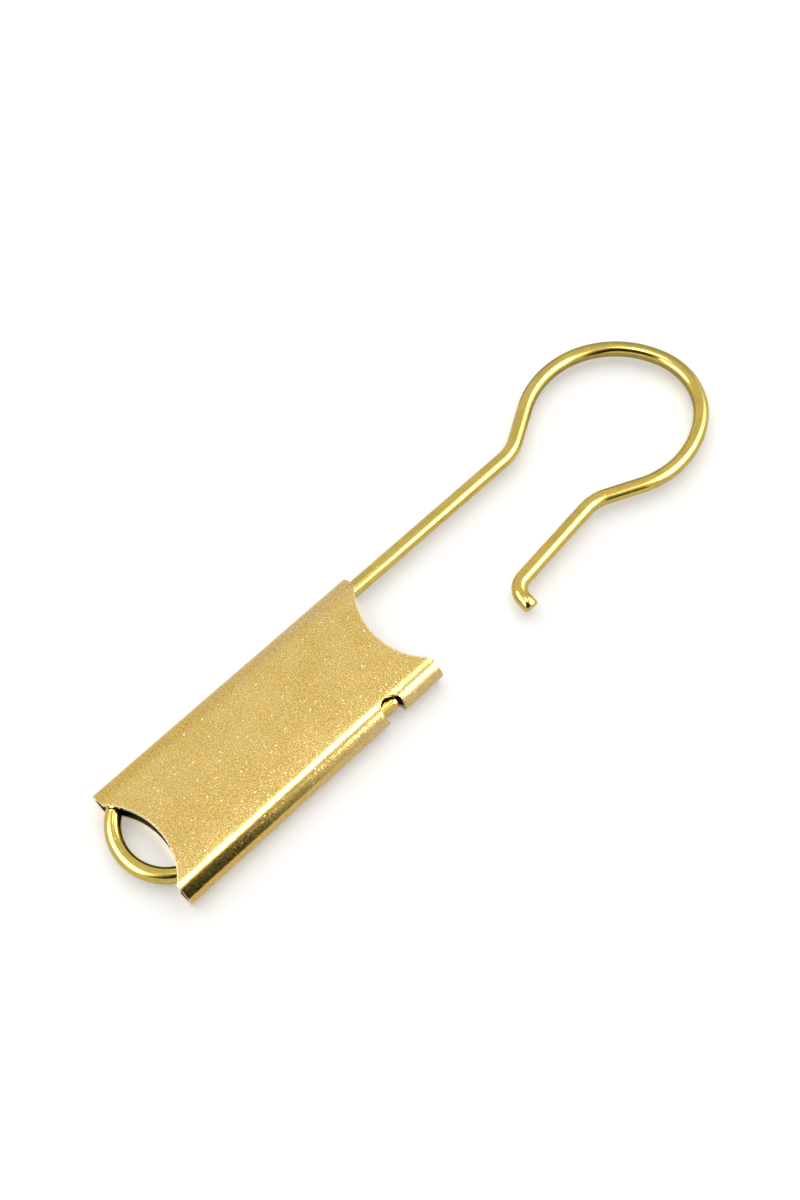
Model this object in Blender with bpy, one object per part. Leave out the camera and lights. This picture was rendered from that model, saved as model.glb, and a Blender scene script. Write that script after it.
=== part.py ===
# Toggle keyring: a bent brass wire hook with a brass sleeve that slides along it.
#
# The sleeve is a flattened tube lying flat, its underside on the plane z = 0 and centred on x = y = 0.
# +Y runs along the sleeve towards the hook, +X runs across it towards the hook's free end.
# Lengths are in metres and angles in radians.

import math

import bmesh
import bpy
from mathutils import Matrix, Vector

# The wire
WIRE_DIAMETER = 0.00205
WIRE_SIDES = 24
WIRE_END_CHAMFER = 0.00015

# The sleeve
SLEEVE_LENGTH = 0.0405
SLEEVE_WIDTH = 0.0178
WALL_THICKNESS = 0.0006
BEND_REACH = 0.0022
BEND_STEPS = 20
SCOOP_DEPTH = 0.00275
SCOOP_RADIUS = 0.0094
SCOOP_STEPS = 160
RIM_RADIUS = 0.00008
RIM_ANGLE = math.radians(40.0)

# How the wire runs in the sleeve
FACE_GAP = 0.0003
SIDE_GAP = 0.0002

# The notch in the sleeve's right side, where the hook's tip latches
NOTCH_FROM_END = 0.0076
NOTCH_BITE = 0.00233
NOTCH_CLEARANCE = 0.0005
NOTCH_STEPS = 64
STOP_GAP = 0.0004

# The eye for the keys, left open by the wire's turn below the sleeve, whose free side is drawn in
EYE_REACH = 0.0030
TURN_INSET = 0.0009

# The hook, bend by bend from the sleeve's upper end; the crown's radius follows from TIP_STANDOUT
LONG_LEG_EXPOSED = 0.0268
NECK_RADIUS = 0.0063
NECK_ANGLE = math.radians(30.2)
NECK_STRAIGHT = 0.0049
LOOP_SIDE_RADIUS = 0.01295
LOOP_FIRST_SIDE_ANGLE = math.radians(101.6)
LOOP_CROWN_ANGLE = math.radians(73.7)
LOOP_LAST_SIDE_ANGLE = math.radians(59.5)
SHORT_LEG_LENGTH = 0.0128
TIP_BEND_RADIUS = 0.0022
TIP_BEND_ANGLE = math.radians(80.0)
TIP_LENGTH = 0.0015
TIP_STANDOUT = 0.0012
ARC_STEP = math.radians(5.0)

# How far a cutter runs past what it cuts
CUT_OVERRUN = 0.0010

# Sizes that follow from the ones above
WIRE_RADIUS = WIRE_DIAMETER / 2
SLEEVE_HEIGHT = WIRE_DIAMETER + 2 * (FACE_GAP + WALL_THICKNESS)
WIRE_PLANE_Z = SLEEVE_HEIGHT / 2
CHANNEL_X = SLEEVE_WIDTH / 2 - WALL_THICKNESS - SIDE_GAP - WIRE_RADIUS
SLEEVE_END_Y = SLEEVE_LENGTH / 2
NOTCH_RADIUS = WIRE_RADIUS + NOTCH_CLEARANCE
NOTCH_X = SLEEVE_WIDTH / 2 - NOTCH_BITE + NOTCH_RADIUS
NOTCH_Y = SLEEVE_END_Y - NOTCH_FROM_END
WIRE_START_Y = NOTCH_Y + NOTCH_RADIUS - STOP_GAP
TURN_RADIUS = CHANNEL_X - TURN_INSET / 2
TURN_CENTRE_X = TURN_RADIUS - CHANNEL_X
TURN_CENTRE_Y = -SLEEVE_END_Y - EYE_REACH + WIRE_RADIUS + TURN_RADIUS
TIP_END_X = SLEEVE_WIDTH / 2 + TIP_STANDOUT


def clear_scene():
    for thing in list(bpy.data.objects):
        bpy.data.objects.remove(thing, do_unlink=True)


def make_material(name, colour, roughness, metallic):
    material = bpy.data.materials.new(name)
    material.use_nodes = True
    shader = material.node_tree.nodes["Principled BSDF"]
    shader.inputs["Base Color"].default_value = (*colour, 1.0)
    shader.inputs["Roughness"].default_value = roughness
    shader.inputs["Metallic"].default_value = metallic
    return material


def wire_brass():
    return make_material("wire_brass", (0.62, 0.45, 0.14), 0.22, 1.0)


def sleeve_brass():
    return make_material("sleeve_brass", (0.68, 0.49, 0.20), 0.38, 1.0)


class WireRun:
    """A wire's centre line in the plane of the hook, laid out bend by bend."""

    def __init__(self, start, heading):
        self.points = [Vector(start)]
        self.heading = heading

    def straight(self, length):
        step = Vector((math.cos(self.heading), math.sin(self.heading), 0.0)) * length
        self.points.append(self.points[-1] + step)

    def bend(self, radius, angle):
        """Turn by angle, anticlockwise if it is positive."""
        here = self.points[-1]
        side = math.copysign(radius, angle)
        centre = here + Vector((-math.sin(self.heading), math.cos(self.heading), 0.0)) * side
        steps = math.ceil(abs(angle) / ARC_STEP)
        for index in range(1, steps + 1):
            turn = Matrix.Rotation(angle * index / steps, 3, "Z")
            self.points.append(centre + turn @ (here - centre))
        self.heading += angle


def end_leg():
    """The heading and length of the leg from the wire's cut end to where it meets the turn."""
    to_centre = Vector((TURN_CENTRE_X - CHANNEL_X, TURN_CENTRE_Y - WIRE_START_Y))
    heading = math.atan2(to_centre.y, to_centre.x) + math.asin(TURN_RADIUS / to_centre.length)
    return heading, math.sqrt(to_centre.length_squared - TURN_RADIUS**2)


def lay_wire(crown_radius):
    """The centre line from the end that shows in the notch, round the eye and the hook, to the tip."""
    heading, length = end_leg()
    run = WireRun((CHANNEL_X, WIRE_START_Y, WIRE_PLANE_Z), heading)
    run.straight(length)
    run.bend(TURN_RADIUS, math.pi / 2 - 2 * math.pi - run.heading)
    run.straight(SLEEVE_END_Y - TURN_CENTRE_Y + LONG_LEG_EXPOSED)
    run.bend(NECK_RADIUS, NECK_ANGLE)
    run.straight(NECK_STRAIGHT)
    run.bend(LOOP_SIDE_RADIUS, -LOOP_FIRST_SIDE_ANGLE)
    run.bend(crown_radius, -LOOP_CROWN_ANGLE)
    run.bend(LOOP_SIDE_RADIUS, -LOOP_LAST_SIDE_ANGLE)
    run.straight(NECK_STRAIGHT)
    run.bend(NECK_RADIUS, NECK_ANGLE)
    run.straight(SHORT_LEG_LENGTH)
    run.bend(TIP_BEND_RADIUS, TIP_BEND_ANGLE)
    run.straight(TIP_LENGTH)
    return run.points


def crown_radius():
    """The crown's radius that brings the hook's tip back over the notch, to TIP_END_X."""
    reach_without_crown = lay_wire(0.0)[-1].x
    crown_start = math.pi / 2 + NECK_ANGLE - LOOP_FIRST_SIDE_ANGLE
    crown_end = crown_start - LOOP_CROWN_ANGLE
    reach_per_radius = math.sin(crown_start) - math.sin(crown_end)
    return (TIP_END_X - reach_without_crown) / reach_per_radius


def chamfered_ends(points):
    """The points, one more at each end where the chamfer starts, and each one's share of the radius."""
    first_inner = points[0] + (points[1] - points[0]).normalized() * WIRE_END_CHAMFER
    last_inner = points[-1] + (points[-2] - points[-1]).normalized() * WIRE_END_CHAMFER
    route = [points[0], first_inner, *points[1:-1], last_inner, points[-1]]
    end_share = (WIRE_RADIUS - WIRE_END_CHAMFER) / WIRE_RADIUS
    radius_shares = [end_share, *[1.0] * (len(route) - 2), end_share]
    return route, radius_shares


def add_hook_wire():
    """One length of round wire, swept along its centre line."""
    route, radius_shares = chamfered_ends(lay_wire(crown_radius()))
    curve = bpy.data.curves.new("hook_wire", "CURVE")
    curve.dimensions = "3D"
    curve.bevel_depth = WIRE_RADIUS
    curve.bevel_resolution = WIRE_SIDES // 2 - 2
    curve.use_fill_caps = True
    spline = curve.splines.new("POLY")
    spline.points.add(len(route) - 1)
    spline.use_smooth = True
    for point, place, radius_share in zip(spline.points, route, radius_shares):
        point.co = (*place, 1.0)
        point.radius = radius_share
    curve.materials.append(wire_brass())
    wire = bpy.data.objects.new("hook_wire", curve)
    bpy.context.collection.objects.link(wire)
    return wire


def sleeve_section():
    """The tube's outline across its width: flat above and below, with rounded sides."""
    flat_half_width = SLEEVE_WIDTH / 2 - BEND_REACH
    outline = []
    for side in (1, -1):
        for index in range(BEND_STEPS + 1):
            angle = math.pi * index / BEND_STEPS - math.pi / 2
            x = flat_half_width + BEND_REACH * math.cos(angle)
            z = WIRE_PLANE_Z * math.sin(angle)
            outline.append((side * x, WIRE_PLANE_Z + side * z))
    return outline


def make_tube():
    """The sleeve's outer skin, open at both ends, extruded along Y from its section."""
    section = bmesh.new()
    ring = [section.verts.new((x, -SLEEVE_END_Y, z)) for x, z in sleeve_section()]
    edges = [section.edges.new((a, b)) for a, b in zip(ring, ring[1:] + ring[:1])]
    drawn = bmesh.ops.extrude_edge_only(section, edges=edges)
    moved = [item for item in drawn["geom"] if isinstance(item, bmesh.types.BMVert)]
    bmesh.ops.translate(section, verts=moved, vec=(0.0, SLEEVE_LENGTH, 0.0))
    bmesh.ops.recalc_face_normals(section, faces=section.faces)
    mesh = bpy.data.meshes.new("sleeve")
    section.to_mesh(mesh)
    section.free()
    mesh.shade_smooth()
    mesh.materials.append(sleeve_brass())
    tube = bpy.data.objects.new("sleeve", mesh)
    bpy.context.collection.objects.link(tube)
    return tube


def round_cutter(name, centre, radius, steps):
    """An upright round cutter that passes right through the sleeve's height."""
    bpy.ops.mesh.primitive_cylinder_add(
        vertices=steps,
        radius=radius,
        depth=SLEEVE_HEIGHT + 2 * CUT_OVERRUN,
        location=(*centre, WIRE_PLANE_Z),
    )
    cutter = bpy.context.object
    cutter.name = name
    cutter.hide_render = True
    cutter.display_type = "WIRE"
    return cutter


def cut(body, cutter):
    boolean = body.modifiers.new(cutter.name, "BOOLEAN")
    boolean.operation = "DIFFERENCE"
    boolean.solver = "EXACT"
    boolean.object = cutter


def add_sleeve():
    """A flattened tube with a round scoop out of each end and a round notch in its right side."""
    sleeve = make_tube()
    wall = sleeve.modifiers.new("wall", "SOLIDIFY")
    wall.thickness = WALL_THICKNESS
    wall.offset = -1.0
    wall.use_even_offset = True
    scoop_y = SLEEVE_END_Y - SCOOP_DEPTH + SCOOP_RADIUS
    cut(sleeve, round_cutter("upper_scoop", (0.0, scoop_y), SCOOP_RADIUS, SCOOP_STEPS))
    cut(sleeve, round_cutter("lower_scoop", (0.0, -scoop_y), SCOOP_RADIUS, SCOOP_STEPS))
    cut(sleeve, round_cutter("notch", (NOTCH_X, NOTCH_Y), NOTCH_RADIUS, NOTCH_STEPS))
    rims = sleeve.modifiers.new("rims", "BEVEL")
    rims.width = RIM_RADIUS
    rims.segments = 2
    rims.limit_method = "ANGLE"
    rims.angle_limit = RIM_ANGLE
    rims.harden_normals = True
    return sleeve


def main():
    clear_scene()
    add_hook_wire()
    add_sleeve()


main()
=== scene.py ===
"""Toggle keyring: a hook bent from one brass wire, with a flat brass sleeve that slides along it.

Everything is in metres, in the frame of the part. The sleeve lies flat on z = 0, centred on
x = y = 0. +Y runs along the sleeve towards the hook, +X across it towards the hook's free tip.
"""

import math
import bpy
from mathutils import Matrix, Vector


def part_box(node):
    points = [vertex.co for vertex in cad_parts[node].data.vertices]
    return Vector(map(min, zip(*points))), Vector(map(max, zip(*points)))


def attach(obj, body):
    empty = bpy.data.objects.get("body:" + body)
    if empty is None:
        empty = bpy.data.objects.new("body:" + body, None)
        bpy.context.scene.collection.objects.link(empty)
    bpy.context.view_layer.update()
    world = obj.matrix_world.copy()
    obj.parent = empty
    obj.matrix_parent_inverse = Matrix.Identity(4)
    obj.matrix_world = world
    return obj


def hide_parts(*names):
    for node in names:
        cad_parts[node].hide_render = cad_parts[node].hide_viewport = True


bl_info = {
    "name": "Toggle Keyring",
    "version": (1, 0, 0),
    "blender": (4, 5, 0),
    "location": "3D View > Sidebar > Keyring",
    "description": "A wire hook with a sliding brass sleeve, and the stage it lies on",
    "category": "Object",
}

import bmesh
import bpy
from bpy.props import FloatProperty, FloatVectorProperty, IntProperty, PointerProperty
from mathutils import Matrix, Vector

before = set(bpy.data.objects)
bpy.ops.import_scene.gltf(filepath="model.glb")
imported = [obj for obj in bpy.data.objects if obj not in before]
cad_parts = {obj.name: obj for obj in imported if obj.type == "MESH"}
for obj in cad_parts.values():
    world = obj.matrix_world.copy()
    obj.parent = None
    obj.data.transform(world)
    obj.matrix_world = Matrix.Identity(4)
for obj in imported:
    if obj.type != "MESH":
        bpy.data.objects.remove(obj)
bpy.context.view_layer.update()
WIRE_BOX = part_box("hook_wire")
SLEEVE_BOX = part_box("sleeve")

# Sizes of the part that its box doesn't give
WALL_THICKNESS = 0.0006
BEND_REACH = 0.0025
SCOOP_DEPTH = 0.00275
SCOOP_RADIUS = 0.0094
SIDE_GAP = 0.0002
NOTCH_FROM_END = 0.0076
NOTCH_BITE = 0.00233
NOTCH_CLEARANCE = 0.0005
STOP_GAP = 0.0004
EYE_REACH = 0.0030
TURN_INSET = 0.0009
LONG_LEG_EXPOSED = 0.0268
NECK_RADIUS = 0.0063
NECK_ANGLE = math.radians(30.2)
NECK_STRAIGHT = 0.0049
LOOP_SIDE_RADIUS = 0.01295
LOOP_FIRST_SIDE_ANGLE = math.radians(101.6)
LOOP_CROWN_ANGLE = math.radians(73.7)
LOOP_LAST_SIDE_ANGLE = math.radians(59.5)
SHORT_LEG_LENGTH = 0.0128
TIP_BEND_RADIUS = 0.0022
TIP_BEND_ANGLE = math.radians(80.0)
TIP_LENGTH = 0.0015
TIP_STANDOUT = 0.0012

# Sizes that follow from the boxes and the ones above
WIRE_DIAMETER = WIRE_BOX[1][2] - WIRE_BOX[0][2]
WIRE_RADIUS = WIRE_DIAMETER / 2
WIRE_PLANE_Z = (WIRE_BOX[1][2] + WIRE_BOX[0][2]) / 2
SLEEVE_LENGTH = SLEEVE_BOX[1][1] - SLEEVE_BOX[0][1]
SLEEVE_WIDTH = SLEEVE_BOX[1][0] - SLEEVE_BOX[0][0]
SLEEVE_HEIGHT = SLEEVE_BOX[1][2] - SLEEVE_BOX[0][2]
SLEEVE_END_Y = SLEEVE_LENGTH / 2
SLEEVE_EDGE_X = SLEEVE_WIDTH / 2
FLAT_HALF_WIDTH = SLEEVE_EDGE_X - BEND_REACH
SCOOP_CENTRE_Y = SLEEVE_END_Y - SCOOP_DEPTH + SCOOP_RADIUS
CHANNEL_X = SLEEVE_EDGE_X - WALL_THICKNESS - SIDE_GAP - WIRE_RADIUS
NOTCH_RADIUS = WIRE_RADIUS + NOTCH_CLEARANCE
NOTCH_X = SLEEVE_EDGE_X - NOTCH_BITE + NOTCH_RADIUS
NOTCH_Y = SLEEVE_END_Y - NOTCH_FROM_END
WIRE_START_Y = NOTCH_Y + NOTCH_RADIUS - STOP_GAP
TURN_RADIUS = CHANNEL_X - TURN_INSET / 2
TURN_CENTRE_X = TURN_RADIUS - CHANNEL_X
TURN_CENTRE_Y = -SLEEVE_END_Y - EYE_REACH + WIRE_RADIUS + TURN_RADIUS
TIP_END_X = SLEEVE_EDGE_X + TIP_STANDOUT

# How finely the surfaces are divided
ARC_STEP = math.radians(1.25)
STRAIGHT_STEP = 0.0006
END_RING_STEP = math.radians(15.0)
END_RINGS = 5
BEND_STEPS = 28
FLAT_STEPS = 30
SLEEVE_RINGS = 72
SCOOP_STEPS = 256
NOTCH_STEPS = 96
RIM_STEPS = 4
DOME_COLUMNS = 24
DOME_ROWS = 16

# How far a cutter runs past what it cuts
CUT_OVERRUN = 0.0010

# The least angle between two faces that makes their edge a rim
RIM_ANGLE = math.radians(40.0)

# Which dents the sleeve gets
DENT_SEED = 3.0

# How far the rubbed look of the flat faces runs round the bends
RUBBED_REACH = 0.0009

# How far the painted highlight reaches back from a scoop's edge
RIM_HIGHLIGHT_REACH = 0.00025

# Where along the sleeve its rounded sides turn paler and creamier: a painted sheen, for the brighter
# reflections towards the upper end
SHEEN_FROM_Y = -0.012
SHEEN_TO_Y = 0.016

# How deep the fine relief of the two brasses is
WIRE_RELIEF = 0.0000035
SLEEVE_RELIEF = 0.000005

# How closely the marks in the brass and the unevenness of the wire follow each other, per metre
DRAW_LINE_SCALE = 9000.0
PATCH_SCALE = 450.0
NICK_SCALE = 2600.0
WANDER_SCALE = 320.0
MOTTLE_SCALE = 230.0
GRAIN_SCALE = 6000.0

# The drawing lines' scale round the wire and along it, as shares of the one above
DRAW_LINE_SHARES = (1.0, 1.0, 0.03)

# The sleeve's scratches: the turn of each set, and its scale along the scratches and across them, per metre
SCRATCH_SETS = (
    (0.30, 1900.0, 7600.0),
    (0.95, 2600.0, 7000.0),
    (1.60, 2200.0, 8000.0),
    (2.20, 2500.0, 7400.0),
    (2.80, 2000.0, 7800.0),
)

# The specks are real nicks that are also painted bright, a painted glint
# The sleeve's bright specks: the turn of each set, the spacing, how much wider they stand one way than the
# other, their size as a share of the spacing, and the share of places that has one
SPECK_SETS = (
    (0.4, 0.0008, 1.3, 0.036, 0.28),
    (2.1, 0.0010, 2.4, 0.032, 0.30),
    (1.1, 0.0011, 3.2, 0.028, 0.30),
)

# Colours that no setting holds
NICK_COLOUR = (0.30, 0.22, 0.07)
# Painted glint: the pale colour that the scratches are painted, for the light that they catch
SCRATCH_GLINT_COLOUR = (0.82, 0.67, 0.38)
# Painted glint: the near-white colour of the bright specks
SPECK_GLINT_COLOUR = (1.0, 0.93, 0.72)
WHITE = (1.0, 1.0, 1.0, 1.0)

# The table. The gap below the sleeve keeps their faces from coinciding, and the table's shadows fade out
# between two distances from the part.
TABLE_HALF_WIDTH = 1.5
TABLE_GAP = 0.00003
SHADOWS_FADE_FROM = 0.25
SHADOWS_FADE_TO = 0.70

# The two patches of a dome that the metal mirrors
DOME_CENTRE = (0.0, 0.020, 0.0)
WINDOW_RADIUS = 0.300
WINDOW_AZIMUTHS = (math.radians(107.0), math.radians(188.0))
WINDOW_ELEVATIONS = (math.radians(-1.0), math.radians(75.0))
DARK_RADIUS = 0.250
DARK_AZIMUTHS = (math.radians(8.0), math.radians(98.5))
DARK_ELEVATIONS = (math.radians(-1.0), math.radians(77.0))
DARK_DEPTH_SHARE = 0.97

# The flat cards that the metal mirrors: each one's middle, half its size, and how bright it is if it is
# grey. The shares say where, across the card or up it, it starts, is full, starts to fade and ends.
SOFT_BOX_PLACE = (-0.070, -0.140, 0.150)
SOFT_BOX_HALF_SIZE = (0.125, 0.110)
SOFT_BOX_SIDE_SHARES = (0.0, 0.25, 0.80, 1.0)
SOFT_BOX_ROW_SHARES = (0.0, 0.50, 0.72, 1.0)
OVERHEAD_PLACE = (0.003, 0.042, 0.290)
OVERHEAD_HALF_SIZE = (0.048, 0.064)
OVERHEAD_SIDE_SHARES = (0.0, 0.10, 0.90, 1.0)
OVERHEAD_ROW_SHARES = (0.0, 0.15, 0.70, 1.0)
# The grey cards are painted shade: they stand for the shaded floor round the loop, as the metal mirrors it
GREY_SIDE_SHARES = (0.0, 0.05, 0.92, 1.0)
GREY_SHEET_PLACE = (-0.037, 0.0695, 0.0002)
GREY_SHEET_HALF_SIZE = (0.043, 0.0155)
GREY_SHEET_LEVEL = 0.52
GREY_WALL_PLACE = (-0.039, 0.085, 0.013)
GREY_WALL_HALF_SIZE = (0.041, 0.013)
GREY_WALL_LEVEL = 0.68

# The corners of a flat square, in order round it, and the ways that the cards lie
CORNERS = ((-1, -1), (1, -1), (1, 1), (-1, 1))
ACROSS = Vector((1.0, 0.0, 0.0))
ALONG = Vector((0.0, 1.0, 0.0))
UP = Vector((0.0, 0.0, 1.0))

# The lamp that lights the table, and what the camera needs besides its settings
LAMP_AZIMUTH = math.radians(245.0)
LAMP_ELEVATION = math.radians(62.0)
LAMP_DISTANCE = 0.60
LAMP_DIAMETER = 1.1
SENSOR_HEIGHT = 36.0
CLIP_START = 0.005


def colour_property(name, description, colour):
    return FloatVectorProperty(
        name=name, description=description, default=colour, min=0.0, max=1.0, subtype="COLOR"
    )


class HookWireSettings(bpy.types.PropertyGroup):
    """The wire's own finish and fineness."""

    sides: IntProperty(
        name="Sides", description="How many flats round the wire",
        default=48, min=12, max=96,
    )
    end_rounding: FloatProperty(
        name="End Rounding", description="Radius on the edge of each cut end",
        default=0.00016, min=0.00002, max=0.0005, unit="LENGTH",
    )
    pinch_length: FloatProperty(
        name="Pinch Length", description="How far back from the tip the cutter squeezed the wire",
        default=0.0007, min=0.0001, max=0.002, unit="LENGTH",
    )
    pinch_share: FloatProperty(
        name="Pinch", description="How much of its thickness the tip loses at its very end",
        default=0.34, min=0.0, max=0.9, subtype="FACTOR",
    )
    unevenness: FloatProperty(
        name="Unevenness", description="How far the hand-bent wire's skin wanders",
        default=0.000018, min=0.0, max=0.0002, unit="LENGTH",
    )
    colour: colour_property("Brass", "The wire's clean brass", (0.585, 0.430, 0.100))
    olive: colour_property(
        "Handled Brass", "The greener brass where the wire has dulled a little", (0.50, 0.377, 0.088)
    )


class SleeveSettings(bpy.types.PropertyGroup):
    """The sleeve's wear and colours, with its painted shade, highlights and sheen."""

    rim_radius: FloatProperty(
        name="Rim Radius", description="Rounding on the edges of the sheet",
        default=0.00022, min=0.00002, max=0.00028, unit="LENGTH",
    )
    dent_depth: FloatProperty(
        name="Dent Depth", description="How far the flattened tube is out of true",
        default=0.00002, min=0.0, max=0.0003, unit="LENGTH",
    )
    dent_size: FloatProperty(
        name="Dent Size", description="How far apart the dents lie",
        default=0.009, min=0.001, max=0.05, unit="LENGTH",
    )
    colour: colour_property(
        "Brass", "The clean brass on the sleeve's rounded sides", (0.60, 0.40, 0.085)
    )
    rubbed_brass: colour_property(
        "Rubbed Brass", "The paler brass of the flat faces, dulled by fine scratches", (0.705, 0.488, 0.150)
    )
    # Painted sheen: the paler, creamier brass that the rounded sides are painted towards the upper end, for
    # the brighter reflections there
    upper_sheen_brass: colour_property(
        "Handled Brass",
        "The paler brass of the rounded sides where fingers push the sleeve",
        (0.60, 0.425, 0.165),
    )
    # Painted highlight: the pale colour that each scoop's edge is painted, as a bright line
    rim_highlight_colour: colour_property(
        "Rim Highlight", "The bright worn edge round each scoop", (0.84, 0.70, 0.40)
    )
    patina: colour_property("Patina", "The browner brass between the scratches", (0.655, 0.450, 0.120))
    # Painted shade: the near-black brass that stands for the shade inside the tube
    inside_shade: colour_property("Inside Shade", "The dark brass inside the tube", (0.05, 0.034, 0.014))


class StageSettings(bpy.types.PropertyGroup):
    """The floor, the light and the camera."""

    table_colour: colour_property("Table", "The pale table top", (0.92, 0.92, 0.92))
    table_lift: FloatProperty(
        name="Table Lift", description="How much brighter the table is in the metal than it is lit",
        default=0.14, min=0.0, max=1.0, subtype="FACTOR",
    )
    shadow_lift: FloatProperty(
        name="Shadow Lift",
        description="How much more the camera sees of it, which makes the shadows lighter",
        default=0.09, min=0.0, max=1.0, subtype="FACTOR",
    )
    room_strength: FloatProperty(
        name="Room Light", description="How bright the light from all round is on the table",
        default=0.45, min=0.0, max=2.0,
    )
    lamp_watts: FloatProperty(
        name="Lamp", description="Power of the main lamp",
        default=3.4, min=0.0, max=50.0, unit="POWER",
    )
    window_strength: FloatProperty(
        name="Window", description="How much brighter than the room the window is in the metal",
        default=10.5, min=0.0, max=30.0,
    )
    soft_box_strength: FloatProperty(
        name="Soft Box", description="How much brighter than the room the soft box is in the metal",
        default=9.0, min=0.0, max=30.0,
    )
    overhead_strength: FloatProperty(
        name="Overhead Lamp",
        description="How much brighter than the room the overhead lamp is in the metal",
        default=8.0, min=0.0, max=30.0,
    )
    view_azimuth: FloatProperty(
        name="Azimuth", description="Where the camera stands, turned from -Y towards +X",
        default=math.radians(45.828), subtype="ANGLE",
    )
    view_elevation: FloatProperty(
        name="Elevation", description="How high the camera looks down from",
        default=math.radians(65.105), subtype="ANGLE",
    )
    view_distance: FloatProperty(
        name="Distance", description="From the camera to what it looks at",
        default=0.20687, unit="LENGTH",
    )
    view_target: FloatVectorProperty(
        name="Target", description="The point in the middle of the picture",
        default=(-0.002664, 0.024181, 0.0), subtype="TRANSLATION",
    )
    focal_share: FloatProperty(
        name="Focal Length", description="The lens's focal length in heights of the picture",
        default=1.373, min=0.2, max=10.0,
    )


# Node trees


def add_node(tree, kind, settings=None, inputs=None):
    """A node with its settings and inputs filled in; an input may be a value or another node's output."""
    node = tree.nodes.new(kind)
    for name, value in (settings or {}).items():
        setattr(node, name, value)
    for key, value in (inputs or {}).items():
        socket = node.inputs[key]
        if isinstance(value, bpy.types.NodeSocket):
            tree.links.new(value, socket)
        else:
            socket.default_value = value
    return node


def math_node(tree, operation, *values, clamp=False):
    inputs = dict(enumerate(values))
    node = add_node(tree, "ShaderNodeMath", {"operation": operation, "use_clamp": clamp}, inputs)
    return node.outputs[0]


def times(tree, first, second):
    return math_node(tree, "MULTIPLY", first, second)


def map_range(tree, value, low, high, at_low=0.0, at_high=1.0, kind="SMOOTHSTEP"):
    """at_low where the value is low or less and at_high where it is high or more."""
    ends = {"From Min": low, "From Max": high, "To Min": at_low, "To Max": at_high}
    node = add_node(tree, "ShaderNodeMapRange", {"interpolation_type": kind}, {"Value": value, **ends})
    return node.outputs["Result"]


def attribute(tree, name):
    """The outputs that read the mesh attribute with this name."""
    return add_node(tree, "ShaderNodeAttribute", {"attribute_name": name}).outputs


def split_vector(tree, vector):
    """The vector's X, Y and Z."""
    return add_node(tree, "ShaderNodeSeparateXYZ", inputs={"Vector": vector}).outputs


def join_vector(tree, **parts):
    """A vector of the given parts, and zero for the rest."""
    return add_node(tree, "ShaderNodeCombineXYZ", inputs=parts).outputs["Vector"]


def stretched(tree, vector, amount):
    """The vector times amount."""
    node = add_node(tree, "ShaderNodeVectorMath", {"operation": "SCALE"}, {0: vector, "Scale": amount})
    return node.outputs["Vector"]


def mapped(tree, vector, scale, turn=0.0):
    """The vector turned about Z and then scaled, for a texture."""
    inputs = {"Vector": vector, "Rotation": (0.0, 0.0, turn), "Scale": scale}
    return add_node(tree, "ShaderNodeMapping", inputs=inputs).outputs["Vector"]


def greatest(tree, values):
    """The greatest of the values at each point."""
    most = values[0]
    for value in values[1:]:
        most = math_node(tree, "MAXIMUM", most, value)
    return most


def new_geometry_tree(name, inputs):
    """A geometry tree with the named inputs, given as (name, socket type, value)."""
    tree = bpy.data.node_groups.new(name, "GeometryNodeTree")
    tree.interface.new_socket("Geometry", in_out="INPUT", socket_type="NodeSocketGeometry")
    for label, kind, value in inputs:
        socket = tree.interface.new_socket(label, in_out="INPUT", socket_type=kind)
        socket.default_value = value
    tree.interface.new_socket("Geometry", in_out="OUTPUT", socket_type="NodeSocketGeometry")
    entry = tree.nodes.new("NodeGroupInput")
    return tree, entry.outputs


def close_geometry_tree(tree, geometry, material):
    """Ends the tree with its instances realized and the material set."""
    real = add_node(tree, "GeometryNodeRealizeInstances", inputs={"Geometry": geometry})
    inputs = {"Geometry": real.outputs["Geometry"], "Material": material}
    painted = add_node(tree, "GeometryNodeSetMaterial", inputs=inputs)
    leave = tree.nodes.new("NodeGroupOutput")
    tree.links.new(painted.outputs["Geometry"], leave.inputs["Geometry"])


def add_tree_modifier(thing, tree, inputs):
    """A Geometry Nodes modifier with its inputs set by their identifiers."""
    values = {label: value for label, _, value in inputs}
    modifier = thing.modifiers.new(tree.name, "NODES")
    modifier.node_group = tree
    for item in tree.interface.items_tree:
        if item.in_out == "INPUT" and item.name in values:
            modifier[item.identifier] = values[item.name]


def add_object(name, data):
    """An object for the data, in the scene at the origin."""
    thing = bpy.data.objects.new(name, data)
    bpy.context.scene.collection.objects.link(thing)
    return thing


def bake(thing, name):
    """The thing's evaluated shape as a plain mesh object; the thing itself is removed."""
    graph = bpy.context.evaluated_depsgraph_get()
    mesh = bpy.data.meshes.new_from_object(thing.evaluated_get(graph), depsgraph=graph)
    mesh.name = name
    data = thing.data
    bpy.data.objects.remove(thing, do_unlink=True)
    if isinstance(data, bpy.types.Curve):
        bpy.data.curves.remove(data)
    else:
        bpy.data.meshes.remove(data)
    return add_object(name, mesh)


# The brass


def new_material(name):
    """A material and its empty node tree."""
    material = bpy.data.materials.new(name)
    material.use_nodes = True
    material.node_tree.nodes.clear()
    return material, material.node_tree


def close_material(tree, shader):
    surface = tree.nodes.new("ShaderNodeOutputMaterial")
    tree.links.new(shader, surface.inputs["Surface"])


def close_brass(tree, colour, roughness, bump_height, bump_distance):
    """Metal with the given colour, roughness and fine relief."""
    bump = {"Strength": 1.0, "Distance": bump_distance, "Height": bump_height}
    relief = add_node(tree, "ShaderNodeBump", inputs=bump).outputs["Normal"]
    metal = {"Base Color": colour, "Metallic": 1.0, "Roughness": roughness, "Normal": relief}
    shader = add_node(tree, "ShaderNodeBsdfPrincipled", inputs=metal)
    close_material(tree, shader.outputs["BSDF"])


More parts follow.
